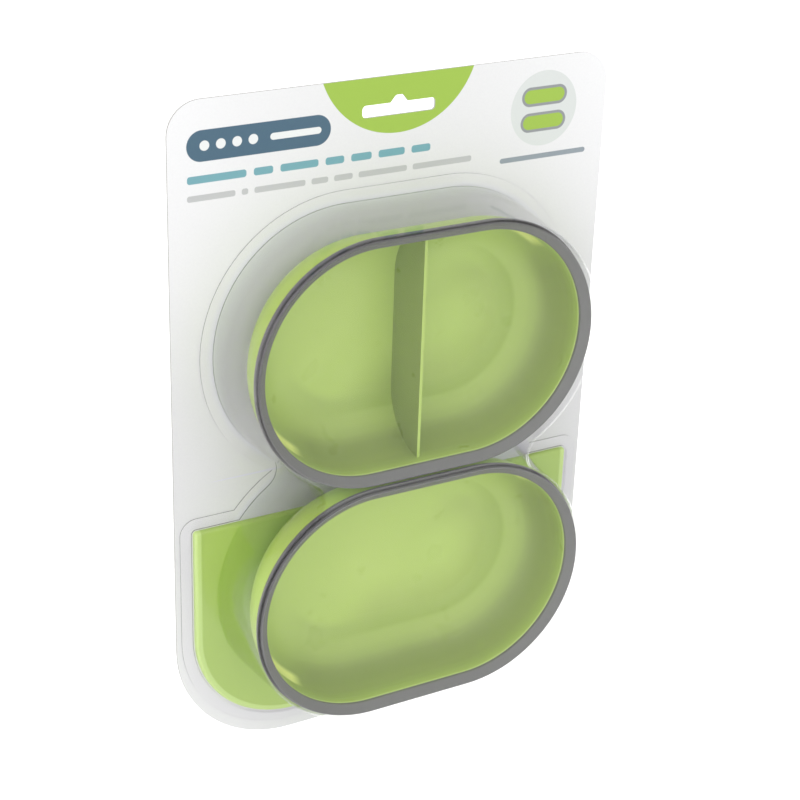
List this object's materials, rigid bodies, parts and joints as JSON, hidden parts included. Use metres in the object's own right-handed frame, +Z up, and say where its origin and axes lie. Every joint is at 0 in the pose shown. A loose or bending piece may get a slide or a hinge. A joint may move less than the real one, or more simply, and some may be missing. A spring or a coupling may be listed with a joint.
{
  "type": "carded pet bowl and mat pack",
  "caption": "Hang card with a clear blister holding a divided oval feeding bowl, an undivided oval bowl and a feeding mat; the pieces lift out forwards.",
  "frame": {"origin": "peg seat of the hang slot: top of the slot's hump, in the plane of the card's back face", "axes": "+Z up along the card, +Y towards the card's back, +X to the right seen from the front"},
  "size_m": [0.2166, 0.0414, 0.32],
  "materials": {
    "card": "coated white board, printed",
    "clear_sheet": "clear thermoformed sheet",
    "bowl": "satin moulded",
    "seal": "satin",
    "mat": "satin"
  },
  "bodies": {
    "card": {"hang_card": "card"},
    "blister": {"blister": "clear_sheet"},
    "upper_bowl": {"split_bowl": "bowl", "split_bowl_seal": "seal"},
    "lower_bowl": {"single_bowl": "bowl", "single_bowl_seal": "seal"},
    "mat": {"feeding_mat": "mat"}
  },
  "joints": [
    {"name": "blister_off", "type": "slide", "parent": "card", "child": "blister", "axis": [0, -1, 0], "range_m": [0, 0.24]},
    {"name": "upper_bowl_out", "type": "slide", "parent": "card", "child": "upper_bowl", "axis": [0, -1, 0], "range_m": [0, 0.12]},
    {"name": "lower_bowl_out", "type": "slide", "parent": "card", "child": "lower_bowl", "axis": [0, -1, 0], "range_m": [0, 0.12]},
    {"name": "mat_out", "type": "slide", "parent": "card", "child": "mat", "axis": [0, -1, 0], "range_m": [0, 0.06]}
  ],
  "couplings": [
    {"joint": "upper_bowl_out", "follows": "blister_off", "ratio": 0.5},
    {"joint": "lower_bowl_out", "follows": "blister_off", "ratio": 0.5},
    {"joint": "mat_out", "follows": "blister_off", "ratio": 0.25}
  ]
}
